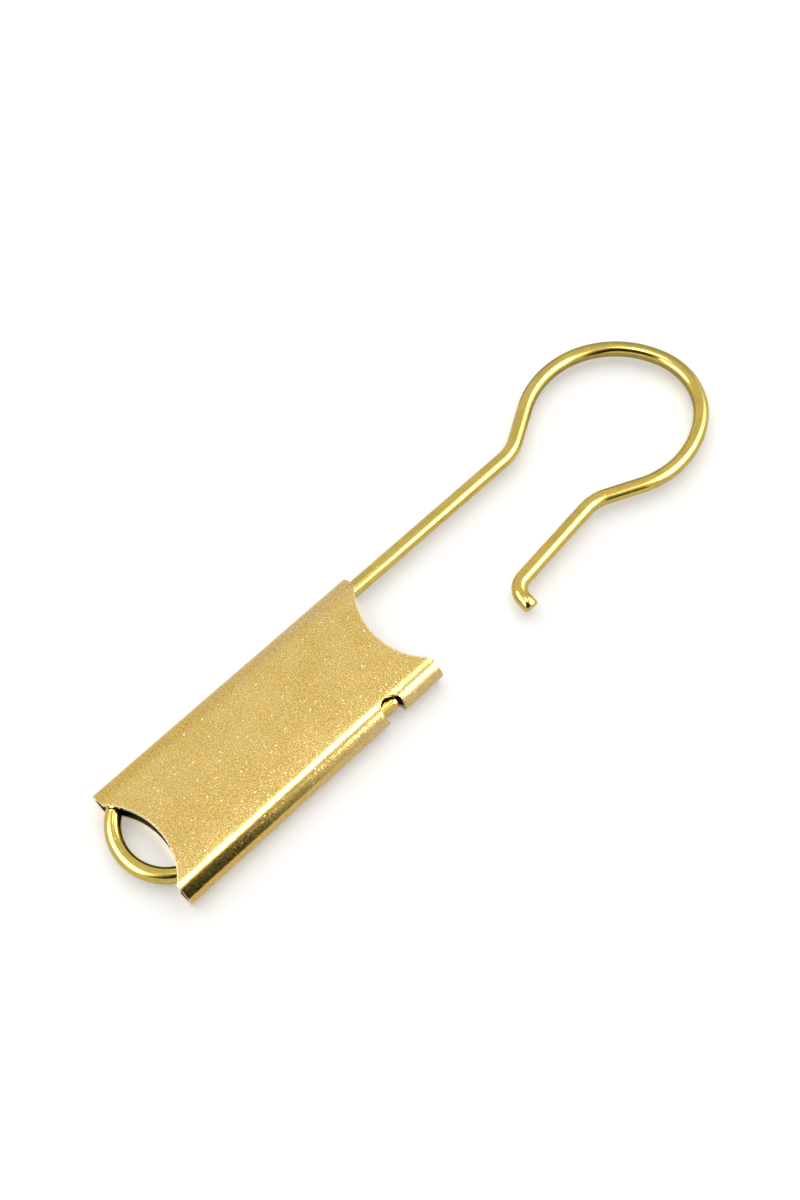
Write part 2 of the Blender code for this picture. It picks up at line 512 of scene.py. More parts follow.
def mix_colour(tree, share, first, second, blend="MIX"):
    """The first colour blended with the second by share; a colour mix has them in sockets 6, 7 and 0."""
    node = add_node(tree, "ShaderNodeMix", {"data_type": "RGBA", "blend_type": blend})
    for socket, value in ((node.inputs[0], share), (node.inputs[6], first), (node.inputs[7], second)):
        if isinstance(value, bpy.types.NodeSocket):
            tree.links.new(value, socket)
        elif isinstance(value, float):
            socket.default_value = value
        else:
            socket.default_value = (*value, 1.0)
    return node.outputs[2]


def noise(tree, place, scale, detail=2.0, roughness=0.5):
    inputs = {"Vector": place, "Scale": scale, "Detail": detail, "Roughness": roughness}
    return add_node(tree, "ShaderNodeTexNoise", inputs=inputs).outputs["Fac"]


def wire_brass(settings):
    """Smooth drawn brass with fine lines along it and a few duller patches."""
    material, tree = new_material("wire_brass_finish")
    unrolled = attribute(tree, "unrolled")["Vector"]
    draw_lines = noise(tree, mapped(tree, unrolled, DRAW_LINE_SHARES), DRAW_LINE_SCALE, 3.0, 0.6)
    patches = noise(tree, unrolled, PATCH_SCALE, 3.0, 0.55)
    nicks = map_range(tree, noise(tree, unrolled, NICK_SCALE), 0.66, 0.74)
    dulled = map_range(tree, patches, 0.40, 0.66)
    colour = mix_colour(tree, dulled, settings.colour, settings.olive)
    colour = mix_colour(tree, times(tree, nicks, 0.45), colour, NICK_COLOUR)
    rough_base = map_range(tree, patches, 0.3, 0.7, 0.10, 0.18, "LINEAR")
    roughness = math_node(tree, "ADD", rough_base, times(tree, nicks, 0.15))
    height = math_node(tree, "SUBTRACT", draw_lines, times(tree, nicks, 0.8))
    close_brass(tree, colour, roughness, height, WIRE_RELIEF)
    return material


def scratch_set(tree, place, turn, length_scale, across_scale):
    """Thin straight scratches, all running one way."""
    turned = mapped(tree, place, (length_scale, across_scale, across_scale), turn)
    return map_range(tree, noise(tree, turned, 1.0, 1.0, 0.4), 0.60, 0.70)


def bright_specks(tree, place, turn, spacing, stretch, size, share):
    """Small nicks, painted bright later as glints, one at most in each cell of the given spacing and in a
    share of the cells.
    """
    turned = mapped(tree, place, (1.0 / spacing, 1.0 / (spacing * stretch), 0.0), turn)
    inputs = {"Vector": turned, "Scale": 1.0}
    cells = add_node(tree, "ShaderNodeTexVoronoi", {"voronoi_dimensions": "2D"}, inputs)
    spot = map_range(tree, cells.outputs["Distance"], size, size * 1.6, 1.0, 0.0)
    pick = add_node(tree, "ShaderNodeSeparateColor", inputs={"Color": cells.outputs["Color"]})
    return times(tree, spot, math_node(tree, "LESS_THAN", pick.outputs["Red"], share))


def painted_rim_highlight(tree, place, grain):
    """Painted highlight: 1 at the edge of either scoop, fading over the sheet behind it."""
    along = math_node(tree, "SUBTRACT", SCOOP_CENTRE_Y, math_node(tree, "ABSOLUTE", place["Y"]))
    across = math_node(tree, "ABSOLUTE", place["X"])
    squares = [math_node(tree, "POWER", part, 2.0) for part in (along, across)]
    from_centre = math_node(tree, "SQRT", math_node(tree, "ADD", *squares))
    from_rim = math_node(tree, "SUBTRACT", from_centre, SCOOP_RADIUS)
    reach = map_range(tree, grain, 0.3, 0.7, RIM_HIGHLIGHT_REACH * 0.5, RIM_HIGHLIGHT_REACH * 1.5, "LINEAR")
    near = math_node(tree, "DIVIDE", from_rim, reach)
    return map_range(tree, near, 0.3, 1.0, 1.0, 0.0)


def sleeve_brass(settings):
    """Worn satin brass, scratched in all directions; painted shade darkens the inside of the tube, painted
    highlights brighten its scratches, specks and scoop edges, and a painted sheen pales its sides towards
    the upper end.
    """
    material, tree = new_material("sleeve_brass_finish")
    place = add_node(tree, "ShaderNodeTexCoord").outputs["Object"]
    places = split_vector(tree, place)
    skin = attribute(tree, "skin")["Vector"]
    inner = attribute(tree, "inside")["Fac"]
    rubbed = attribute(tree, "rubbed")["Fac"]
    mottle = noise(tree, place, MOTTLE_SCALE, 3.0, 0.55)
    grain = noise(tree, place, GRAIN_SCALE, 2.0, 0.7)
    hairs = greatest(tree, [scratch_set(tree, skin, *one) for one in SCRATCH_SETS])
    specks = greatest(tree, [bright_specks(tree, skin, *one) for one in SPECK_SETS])
    specks = times(tree, specks, map_range(tree, mottle, 0.35, 0.60, 0.35, 1.0))

    patches = map_range(tree, mottle, 0.35, 0.65)
    flats = mix_colour(tree, patches, settings.rubbed_brass, settings.patina)
    # Painted sheen: the rounded sides turn paler towards the upper end, for the brighter reflections there
    upper_sheen = map_range(tree, places["Y"], SHEEN_FROM_Y, SHEEN_TO_Y)
    sides = mix_colour(tree, upper_sheen, settings.colour, settings.upper_sheen_brass)
    colour = mix_colour(tree, rubbed, sides, flats)
    # Painted highlight: each scoop's edge is painted pale, so that it shows as a bright line
    colour = mix_colour(tree, painted_rim_highlight(tree, places, grain), colour, settings.rim_highlight_colour)
    fine = map_range(tree, grain, 0.30, 0.70, 0.62, 1.32, "LINEAR")
    # The scratches also lift the tone a little, part of their painted glint
    fine = math_node(tree, "MULTIPLY_ADD", hairs, 0.04, fine)
    shade = add_node(tree, "ShaderNodeCombineColor", inputs={"Red": fine, "Green": fine, "Blue": fine})
    colour = mix_colour(tree, 1.0, colour, shade.outputs["Color"], "MULTIPLY")
    # Painted glints: the real scratches and specks are painted pale as well
    colour = mix_colour(tree, times(tree, hairs, 0.30), colour, SCRATCH_GLINT_COLOUR)
    colour = mix_colour(tree, times(tree, specks, 0.75), colour, SPECK_GLINT_COLOUR)
    # Painted shade: the inside of the tube is painted nearly black for the shade there
    colour = mix_colour(tree, inner, colour, settings.inside_shade)

    roughness = map_range(tree, grain, 0.3, 0.7, 0.09, 0.17, "LINEAR")
    roughness = math_node(tree, "MULTIPLY_ADD", inner, 0.35, roughness)
    roughness = math_node(tree, "MULTIPLY_ADD", specks, 0.25, roughness)
    height = math_node(tree, "MULTIPLY_ADD", hairs, -0.35, grain)
    height = math_node(tree, "MULTIPLY_ADD", specks, 0.6, height)
    close_brass(tree, colour, roughness, height, SLEEVE_RELIEF)
    return material


# The hook


class WireRun:
    """A wire's centre line in the plane of the hook, laid out bend by bend."""

    def __init__(self, start, heading):
        self.points = [Vector(start)]
        self.heading = heading

    def straight(self, length):
        here = self.points[-1]
        along = Vector((math.cos(self.heading), math.sin(self.heading), 0.0))
        steps = max(1, math.ceil(abs(length) / STRAIGHT_STEP))
        for index in range(1, steps + 1):
            self.points.append(here + along * (length * index / steps))

    def bend(self, radius, angle):
        """Turn by angle, anticlockwise if it is positive."""
        here = self.points[-1]
        side = math.copysign(radius, angle)
        centre = here + Vector((-math.sin(self.heading), math.cos(self.heading), 0.0)) * side
        steps = math.ceil(abs(angle) / ARC_STEP)
        for index in range(1, steps + 1):
            turn = Matrix.Rotation(angle * index / steps, 3, "Z")
            self.points.append(centre + turn @ (here - centre))
        self.heading += angle


def end_leg():
    """The heading and length of the leg from the wire's cut end to where it meets the turn."""
    to_centre = Vector((TURN_CENTRE_X - CHANNEL_X, TURN_CENTRE_Y - WIRE_START_Y))
    heading = math.atan2(to_centre.y, to_centre.x) + math.asin(TURN_RADIUS / to_centre.length)
    return heading, math.sqrt(to_centre.length_squared - TURN_RADIUS**2)


def lay_wire(crown_radius):
    """The centre line from the end that shows in the notch, round the eye and the hook, to the tip."""
    heading, length = end_leg()
    run = WireRun((CHANNEL_X, WIRE_START_Y, WIRE_PLANE_Z), heading)
    run.straight(length)
    run.bend(TURN_RADIUS, math.pi / 2 - 2 * math.pi - run.heading)
    run.straight(SLEEVE_END_Y - TURN_CENTRE_Y + LONG_LEG_EXPOSED)
    run.bend(NECK_RADIUS, NECK_ANGLE)
    run.straight(NECK_STRAIGHT)
    run.bend(LOOP_SIDE_RADIUS, -LOOP_FIRST_SIDE_ANGLE)
    run.bend(crown_radius, -LOOP_CROWN_ANGLE)
    run.bend(LOOP_SIDE_RADIUS, -LOOP_LAST_SIDE_ANGLE)
    run.straight(NECK_STRAIGHT)
    run.bend(NECK_RADIUS, NECK_ANGLE)
    run.straight(SHORT_LEG_LENGTH)
    run.bend(TIP_BEND_RADIUS, TIP_BEND_ANGLE)
    run.straight(TIP_LENGTH)
    return run.points


def crown_radius():
    """The crown's radius that brings the hook's tip back over the notch, to TIP_END_X."""
    reach_without_crown = lay_wire(0.0)[-1].x
    crown_start = math.pi / 2 + NECK_ANGLE - LOOP_FIRST_SIDE_ANGLE
    crown_end = crown_start - LOOP_CROWN_ANGLE
    reach_per_radius = math.sin(crown_start) - math.sin(crown_end)
    return (TIP_END_X - reach_without_crown) / reach_per_radius


def add_end_rings(points, rounding):
    """The points, with close ones near each end for the rounding of the cut."""
    shares = [1.0 - math.cos(END_RING_STEP * step) for step in range(1, END_RINGS + 1)]
    first_way = (points[1] - points[0]).normalized()
    last_way = (points[-2] - points[-1]).normalized()
    first = [points[0] + first_way * (rounding * share) for share in shares]
    last = [points[-1] + last_way * (rounding * share) for share in reversed(shares)]
    return [points[0], *first, *points[1:-1], *last, points[-1]]


def wire_inputs(settings):
    """The wire tree's inputs, as (name, socket type, value)."""
    return (
        ("Wire Radius", "NodeSocketFloat", WIRE_RADIUS),
        ("Sides", "NodeSocketInt", settings.sides),
        ("End Rounding", "NodeSocketFloat", settings.end_rounding),
        ("Wire Plane", "NodeSocketFloat", WIRE_PLANE_Z),
        ("Pinch Length", "NodeSocketFloat", settings.pinch_length),
        ("Pinch", "NodeSocketFloat", settings.pinch_share),
        ("Unevenness", "NodeSocketFloat", settings.unevenness),
    )


def capture(tree, geometry, **fields):
    """Keeps each field, given as (type, value), on the geometry's points; returns the node's outputs."""
    node = add_node(tree, "GeometryNodeCaptureAttribute", {"domain": "POINT"}, {"Geometry": geometry})
    for name, (kind, value) in fields.items():
        node.capture_items.new(kind, name)
        tree.links.new(value, node.inputs[name])
    return node.outputs


def moved(tree, geometry, offset):
    node = add_node(tree, "GeometryNodeSetPosition", inputs={"Geometry": geometry, "Offset": offset})
    return node.outputs["Geometry"]


def rounded_radius(tree, given, along, to_tip):
    """The wire's radius, drawn in over the rounding at each cut end."""
    rounding = given["End Rounding"]
    to_end = math_node(tree, "MINIMUM", along, to_tip)
    missing = math_node(tree, "SUBTRACT", rounding, to_end)
    short_by = math_node(tree, "DIVIDE", missing, rounding, clamp=True)
    squared = math_node(tree, "POWER", short_by, 2.0)
    arc = math_node(tree, "SQRT", math_node(tree, "SUBTRACT", 1.0, squared))
    core = math_node(tree, "SUBTRACT", given["Wire Radius"], rounding)
    return math_node(tree, "ADD", core, times(tree, rounding, arc))


def pinch(tree, given, to_tip, position):
    """The way that the cutter squeezed each point near the tip towards the wire's plane."""
    from_tip = math_node(tree, "DIVIDE", to_tip, given["Pinch Length"])
    near_tip = math_node(tree, "SUBTRACT", 1.0, from_tip, clamp=True)
    height = math_node(tree, "SUBTRACT", split_vector(tree, position)["Z"], given["Wire Plane"])
    lost = times(tree, given["Pinch"], -1.0)
    drop = times(tree, height, times(tree, near_tip, lost))
    return join_vector(tree, Z=drop)


def wire_tree(material, inputs):
    """Sweeps a round section along the route, rounds its cut ends and pinches its tip."""
    tree, given = new_geometry_tree("hook wire sweep", inputs)
    along = add_node(tree, "GeometryNodeSplineParameter").outputs["Length"]
    whole = add_node(tree, "GeometryNodeSplineLength").outputs["Length"]
    to_tip = math_node(tree, "SUBTRACT", whole, along)
    radius = rounded_radius(tree, given, along, to_tip)
    position = add_node(tree, "GeometryNodeInputPosition").outputs["Position"]
    normal = add_node(tree, "GeometryNodeInputNormal").outputs["Normal"]

    route = capture(tree, given["Geometry"], along=("FLOAT", along), to_tip=("FLOAT", to_tip))
    size = {"Resolution": given["Sides"], "Radius": 1.0}
    circle = add_node(tree, "GeometryNodeCurvePrimitiveCircle", inputs=size)
    section = capture(tree, circle.outputs["Curve"], around=("VECTOR", position))
    sweep = {"Curve": route["Geometry"], "Profile Curve": section["Geometry"]}
    sweep |= {"Scale": radius, "Fill Caps": True}
    swept = add_node(tree, "GeometryNodeCurveToMesh", inputs=sweep)
    around = split_vector(tree, section["around"])
    unrolled = join_vector(
        tree,
        X=times(tree, around["X"], given["Wire Radius"]),
        Y=times(tree, around["Y"], given["Wire Radius"]),
        Z=route["along"],
    )
    marked = add_node(
        tree,
        "GeometryNodeStoreNamedAttribute",
        {"data_type": "FLOAT_VECTOR", "domain": "POINT"},
        {"Geometry": swept.outputs["Mesh"], "Name": "unrolled", "Value": unrolled},
    )
    pinched = moved(tree, marked.outputs["Geometry"], pinch(tree, given, route["to_tip"], position))
    wander = noise(tree, unrolled, WANDER_SCALE, 1.0)
    amount = times(tree, math_node(tree, "SUBTRACT", wander, 0.5), given["Unevenness"])
    uneven = moved(tree, pinched, stretched(tree, normal, amount))
    smooth = add_node(tree, "GeometryNodeSetShadeSmooth", inputs={"Geometry": uneven})
    close_geometry_tree(tree, smooth.outputs["Geometry"], material)
    return tree


class KEYRING_OT_add_hook_wire(bpy.types.Operator):
    """Bend the hook from one length of brass wire"""

    bl_idname = "keyring.add_hook_wire"
    bl_label = "Add Hook Wire"
    bl_options = {"REGISTER", "UNDO"}

    def execute(self, context):
        settings = context.scene.keyring_hook_wire
        points = add_end_rings(lay_wire(crown_radius()), settings.end_rounding)
        curve = bpy.data.curves.new("hook wire route", "CURVE")
        curve.dimensions = "3D"
        spline = curve.splines.new("POLY")
        spline.points.add(len(points) - 1)
        for point, place in zip(spline.points, points):
            point.co = (*place, 1.0)
        route = add_object("hook wire route", curve)
        inputs = wire_inputs(settings)
        add_tree_modifier(route, wire_tree(wire_brass(settings), inputs), inputs)
        wire = bake(route, "bent_wire")
        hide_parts("hook_wire")
        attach(wire, "hook")
        return {"FINISHED"}


# The sleeve


def sleeve_section():
    """The tube's outline across its width: flat above and below, with rounded sides."""
    outline = []
    for side in (1, -1):
        for index in range(BEND_STEPS + 1):
            angle = math.pi * index / BEND_STEPS - math.pi / 2
            x = FLAT_HALF_WIDTH + BEND_REACH * math.cos(angle)
            z = SLEEVE_HEIGHT / 2 * math.sin(angle)
            outline.append((side * x, SLEEVE_HEIGHT / 2 + side * z))
        for index in range(1, FLAT_STEPS):
            share = index / FLAT_STEPS
            x = side * FLAT_HALF_WIDTH * (1 - 2 * share)
            outline.append((x, SLEEVE_HEIGHT if side == 1 else 0.0))
    return outline


def make_tube():
    """The sleeve's outer skin, open at both ends, in rings along Y."""
    shell = bmesh.new()
    section = sleeve_section()
    rings = []
    for index in range(SLEEVE_RINGS + 1):
        y = SLEEVE_END_Y * (2 * index / SLEEVE_RINGS - 1)
        rings.append([shell.verts.new((x, y, z)) for x, z in section])
    for ring, following in zip(rings, rings[1:]):
        for index, vert in enumerate(ring):
            beside = (index + 1) % len(ring)
            shell.faces.new((vert, ring[beside], following[beside], following[index]))
    bmesh.ops.recalc_face_normals(shell, faces=shell.faces)
    mesh = bpy.data.meshes.new("sleeve shell")
    shell.to_mesh(mesh)
    shell.free()
    mesh.shade_smooth()
    return add_object("sleeve shell", mesh)


def dent_inputs(settings):
    """The dent tree's inputs, as (name, socket type, value)."""
    return (
        ("Dent Depth", "NodeSocketFloat", settings.dent_depth),
        ("Dent Size", "NodeSocketFloat", settings.dent_size),
        ("Seed", "NodeSocketFloat", DENT_SEED),
    )


def dent_tree(material, inputs):
    """Presses shallow dents into the tube's skin, none of which stands out from it."""
    tree, given = new_geometry_tree("sleeve dents", inputs)
    position = add_node(tree, "GeometryNodeInputPosition").outputs["Position"]
    normal = add_node(tree, "GeometryNodeInputNormal").outputs["Normal"]
    scale = math_node(tree, "DIVIDE", 1.0, given["Dent Size"])
    inputs = {"Vector": position, "W": given["Seed"], "Scale": scale, "Detail": 2.0}
    wander = add_node(tree, "ShaderNodeTexNoise", {"noise_dimensions": "4D"}, inputs)
    pressed_in = map_range(tree, wander.outputs["Fac"], 0.35, 0.7, 0.0, -1.0)
    depth = times(tree, pressed_in, given["Dent Depth"])
    pressed = moved(tree, given["Geometry"], stretched(tree, normal, depth))
    close_geometry_tree(tree, pressed, material)
    return tree


def round_cutter(name, centre, radius, steps):
    """An upright round cutter that passes right through the sleeve's height."""
    shape = bmesh.new()
    bmesh.ops.create_cone(
        shape,
        cap_ends=True,
        segments=steps,
        radius1=radius,
        radius2=radius,
        depth=SLEEVE_HEIGHT + 2 * CUT_OVERRUN,
        matrix=Matrix.Translation((*centre, SLEEVE_HEIGHT / 2)),
    )
    mesh = bpy.data.meshes.new(name)
    shape.to_mesh(mesh)
    shape.free()
    mesh.shade_smooth()
    return add_object(name, mesh)


def cut(body, cutter):
    """Takes the cutter's shape out of the body."""
    boolean = body.modifiers.new(cutter.name, "BOOLEAN")
    boolean.operation = "DIFFERENCE"
    boolean.solver = "EXACT"
    boolean.object = cutter


def mark_skin(mesh):
    """Stores which faces are inside the tube, which points are on a rubbed flat, and the unrolled skin."""
    inside = mesh.attributes.new("inside", "FLOAT", "FACE").data
    rubbed = mesh.attributes.new("rubbed", "FLOAT", "POINT").data
    skin = mesh.attributes.new("skin", "FLOAT_VECTOR", "POINT").data
    half_height = SLEEVE_HEIGHT / 2
    for vert in mesh.vertices:
        height = abs(vert.co.z - half_height)
        past_flat = max(0.0, abs(vert.co.x) - FLAT_HALF_WIDTH)
        rubbed[vert.index].value = min(1.0, max(0.0, 1.0 - past_flat / RUBBED_REACH))
        round_side = math.atan2(past_flat / BEND_REACH, height / half_height) * half_height
        along_skin = math.copysign(min(abs(vert.co.x), FLAT_HALF_WIDTH) + round_side, vert.co.x)
        skin[vert.index].vector = (along_skin, vert.co.y, 0.0)
    for face in mesh.polygons:
        past_flat = max(0.0, abs(face.center.x) - FLAT_HALF_WIDTH)
        outwards = Vector((
            math.copysign(past_flat / BEND_REACH**2, face.center.x),
            0.0,
            (face.center.z - half_height) / half_height**2,
        ))
        inside[face.index].value = min(1.0, max(0.0, -face.normal.dot(outwards.normalized())))


class KEYRING_OT_add_sleeve(bpy.types.Operator):
    """Flatten a brass tube into the sleeve, and cut its scoops and its notch"""

    bl_idname = "keyring.add_sleeve"
    bl_label = "Add Sleeve"
    bl_options = {"REGISTER", "UNDO"}

    def execute(self, context):
        settings = context.scene.keyring_sleeve
        material = sleeve_brass(settings)
        tube = make_tube()
        tube.data.materials.append(material)
        inputs = dent_inputs(settings)
        add_tree_modifier(tube, dent_tree(material, inputs), inputs)
        wall = tube.modifiers.new("wall", "SOLIDIFY")
        wall.thickness = WALL_THICKNESS
        wall.offset = -1.0
        wall.use_even_offset = True
        cutters = [
            round_cutter("upper scoop", (0.0, SCOOP_CENTRE_Y), SCOOP_RADIUS, SCOOP_STEPS),
            round_cutter("lower scoop", (0.0, -SCOOP_CENTRE_Y), SCOOP_RADIUS, SCOOP_STEPS),
            round_cutter("notch", (NOTCH_X, NOTCH_Y), NOTCH_RADIUS, NOTCH_STEPS),
        ]
        for cutter in cutters:
            cut(tube, cutter)
        rims = tube.modifiers.new("rims", "BEVEL")
        rims.width = settings.rim_radius
        rims.segments = RIM_STEPS
        rims.limit_method = "ANGLE"
        rims.angle_limit = RIM_ANGLE
        rims.harden_normals = True
        sleeve = bake(tube, "flat_sleeve")
        for cutter in cutters:
            shape = cutter.data
            bpy.data.objects.remove(cutter, do_unlink=True)
            bpy.data.meshes.remove(shape)
        mark_skin(sleeve.data)
        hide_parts("sleeve")
        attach(sleeve, "sleeve")
        return {"FINISHED"}


# The stage


def eased_band(tree, value, start, full, fading, end):
    """1 from full to fading, easing to 0 at start and at end."""
    rise = map_range(tree, value, start, full)
    fall = map_range(tree, value, fading, end, 1.0, 0.0)
    return times(tree, rise, fall)


def seen_rays(tree):
    """1 for what the camera sees, directly or in metal and glass."""
    rays = add_node(tree, "ShaderNodeLightPath")
    seen = math_node(tree, "MAXIMUM", rays.outputs["Is Camera Ray"], rays.outputs["Is Glossy Ray"])
    return math_node(tree, "MAXIMUM", seen, rays.outputs["Is Transmission Ray"])


def white_glow(tree, strength):
    inputs = {"Color": WHITE, "Strength": strength}
    return add_node(tree, "ShaderNodeEmission", inputs=inputs).outputs["Emission"]


def table_paint(settings):
    """Matt white that keeps the shadows near the part, and looks a little brighter than it is lit."""
    material, tree = new_material("white_table")
    matt = add_node(tree, "ShaderNodeBsdfDiffuse", inputs={"Color": (*settings.table_colour, 1.0)})
    rays = add_node(tree, "ShaderNodeLightPath")
    place = add_node(tree, "ShaderNodeTexCoord").outputs["Object"]
    away = add_node(tree, "ShaderNodeVectorMath", {"operation": "LENGTH"}, {0: place}).outputs["Value"]
    lift = map_range(tree, away, SHADOWS_FADE_FROM, SHADOWS_FADE_TO, settings.shadow_lift, 1.0)
    for_camera = times(tree, rays.outputs["Is Camera Ray"], lift)
    strength = math_node(tree, "MULTIPLY_ADD", seen_rays(tree), settings.table_lift, for_camera)
    shaders = {0: matt.outputs["BSDF"], 1: white_glow(tree, strength)}
    both = add_node(tree, "ShaderNodeAddShader", inputs=shaders)
    close_material(tree, both.outputs["Shader"])
    return material


def add_table(settings):
    """The flat table top that the part lies on."""
    mesh = bpy.data.meshes.new("table_top")
    corners = [(x * TABLE_HALF_WIDTH, y * TABLE_HALF_WIDTH, -TABLE_GAP) for x, y in CORNERS]
    mesh.from_pydata(corners, [], [(0, 1, 2, 3)])
    mesh.materials.append(table_paint(settings))
    add_object("table_top", mesh)


def light_room(settings):
    """White to look at and in the metal, and softer where it lights the table."""
    world = bpy.data.worlds.new("white_room")
    bpy.context.scene.world = world
    world.use_nodes = True
    tree = world.node_tree
    tree.nodes.clear()
    strength = map_range(tree, seen_rays(tree), 0.0, 1.0, settings.room_strength, 1.0, "LINEAR")
    sky = add_node(tree, "ShaderNodeBackground", inputs={"Color": WHITE, "Strength": strength})
    out = tree.nodes.new("ShaderNodeOutputWorld")
    tree.links.new(sky.outputs["Background"], out.inputs["Surface"])


def direction(azimuth, elevation):
    """The way to look from the part towards something; azimuth turns from -Y towards +X."""
    flat = math.cos(elevation)
    return Vector((flat * math.sin(azimuth), -flat * math.cos(azimuth), math.sin(elevation)))


def dome_patch(name, radius, azimuths, elevations, material):
    """A patch of a dome over the table, seen only as a reflection, with a UV map across and up it."""
    patch = bmesh.new()
    layer = patch.loops.layers.uv.new("UVMap")
    grid = []
    for row in range(DOME_ROWS + 1):
        elevation = elevations[0] + (elevations[1] - elevations[0]) * row / DOME_ROWS
        line = []
        for column in range(DOME_COLUMNS + 1):
            azimuth = azimuths[0] + (azimuths[1] - azimuths[0]) * column / DOME_COLUMNS
            place = Vector(DOME_CENTRE) + direction(azimuth, elevation) * radius
            line.append((patch.verts.new(place), (column / DOME_COLUMNS, row / DOME_ROWS)))
        grid.append(line)
    for low, high in zip(grid, grid[1:]):
        for column in range(DOME_COLUMNS):
            corners = [low[column], low[column + 1], high[column + 1], high[column]]
            face = patch.faces.new([vert for vert, _ in corners])
            for loop, (_, uv) in zip(face.loops, corners):
                loop[layer].uv = uv
    mesh = bpy.data.meshes.new(name)
    patch.to_mesh(mesh)
    patch.free()
    mesh.shade_smooth()
    mesh.materials.append(material)
    show_only_in_metal(add_object(name, mesh))


def show_only_in_metal(thing):
    """Makes the thing a part of the stage that only reflections show."""
    thing.visible_camera = False
    thing.visible_diffuse = False
    thing.visible_shadow = False
    thing.visible_volume_scatter = False


def card_places(tree):
    """How far across and up its card each point lies, from 0 to 1."""
    places = split_vector(tree, add_node(tree, "ShaderNodeTexCoord").outputs["UV"])
    return places["X"], places["Y"]


def glow_paint(name, strength_of):
    """A glow whose strength strength_of works out from the place on the card."""
    material, tree = new_material(name)
    close_material(tree, white_glow(tree, strength_of(tree, *card_places(tree))))
    return material


def soft_rectangle(side_shares, row_shares, strength):
    """The strength of a bright rectangle with soft edges, on a card that is else as white as the room."""

    def strength_of(tree, across, up):
        sides = eased_band(tree, across, *side_shares)
        rows = eased_band(tree, up, *row_shares)
        return math_node(tree, "MULTIPLY_ADD", times(tree, sides, rows), strength, 1.0)

    return strength_of


def shade_paint(name, level, shape_of):
    """An even grey level as dense as shape_of works out from the place on the card, and clear elsewhere."""
    material, tree = new_material(name)
    shape = shape_of(tree, *card_places(tree))
    clear = tree.nodes.new("ShaderNodeBsdfTransparent").outputs["BSDF"]
    both = add_node(tree, "ShaderNodeMixShader", inputs={0: shape, 1: clear, 2: white_glow(tree, level)})
    close_material(tree, both.outputs["Shader"])
    return material


def flat_card(name, place, side, rise, half_size, material):
    """A card about place, seen only as a reflection, which reaches half_size along side and along rise."""
    mesh = bpy.data.meshes.new(name)
    half_side, half_rise = side * half_size[0], rise * half_size[1]
    corners = [Vector(place) + half_side * x + half_rise * y for x, y in CORNERS]
    mesh.from_pydata(corners, [], [(0, 1, 2, 3)])
    layer = mesh.uv_layers.new(name="UVMap")
    for loop, (x, y) in zip(layer.data, CORNERS):
        loop.uv = ((x + 1) / 2, (y + 1) / 2)
    mesh.materials.append(material)
    show_only_in_metal(add_object(name, mesh))


def add_window(settings):
    """The big window beyond the hook, plain white low down and brightest a little over halfway up."""

    def strength_of(tree, across, up):
        sides = eased_band(tree, across, 0.0, 0.14, 0.60, 0.97)
        top = map_range(tree, up, 0.64, 0.86, 1.0, 0.0)
        climb = map_range(tree, up, 0.15, 0.62)
        shape = times(tree, times(tree, sides, top), climb)
        return math_node(tree, "MULTIPLY_ADD", shape, settings.window_strength, 1.0)

    paint = glow_paint("window_light", strength_of)
    dome_patch("window", WINDOW_RADIUS, WINDOW_AZIMUTHS, WINDOW_ELEVATIONS, paint)


def add_soft_box(settings):
    """The small soft box in front of the eye, turned towards the part."""
    strength_of = soft_rectangle(SOFT_BOX_SIDE_SHARES, SOFT_BOX_ROW_SHARES, settings.soft_box_strength)
    way = (Vector(DOME_CENTRE) - Vector(SOFT_BOX_PLACE)).normalized()
    side = way.cross(UP).normalized()
    paint = glow_paint("soft_box_light", strength_of)
    flat_card("soft_box", SOFT_BOX_PLACE, side, side.cross(way), SOFT_BOX_HALF_SIZE, paint)


def add_overhead_lamp(settings):
    """A small lamp over the sleeve's upper end, which draws the bright line along its bend."""
    strength_of = soft_rectangle(OVERHEAD_SIDE_SHARES, OVERHEAD_ROW_SHARES, settings.overhead_strength)
    paint = glow_paint("overhead_light", strength_of)
    flat_card("overhead_lamp", OVERHEAD_PLACE, ACROSS, ALONG, OVERHEAD_HALF_SIZE, paint)


def add_dark_corner():
    """The dark side of the room, round behind the camera, which draws the dark lines in the brass."""

    def strength_of(tree, across, up):
        sides = eased_band(tree, across, 0.0, 0.08, 0.93, 1.0)
        # It starts higher towards -Y, so that the sleeve's top isn't black when seen low from behind
        foot = map_range(tree, across, 0.62, 0.80, 0.32, 0.0)
        risen = math_node(tree, "SUBTRACT", up, foot)
        bottom = map_range(tree, risen, 0.0, 0.10)
        top = map_range(tree, up, 0.87, 1.0, 1.0, 0.0)
        shape = times(tree, sides, times(tree, bottom, top))
        return math_node(tree, "MULTIPLY_ADD", shape, -DARK_DEPTH_SHARE, 1.0)

    paint = glow_paint("dark_corner_paint", strength_of)
    dome_patch("dark_corner", DARK_RADIUS, DARK_AZIMUTHS, DARK_ELEVATIONS, paint)


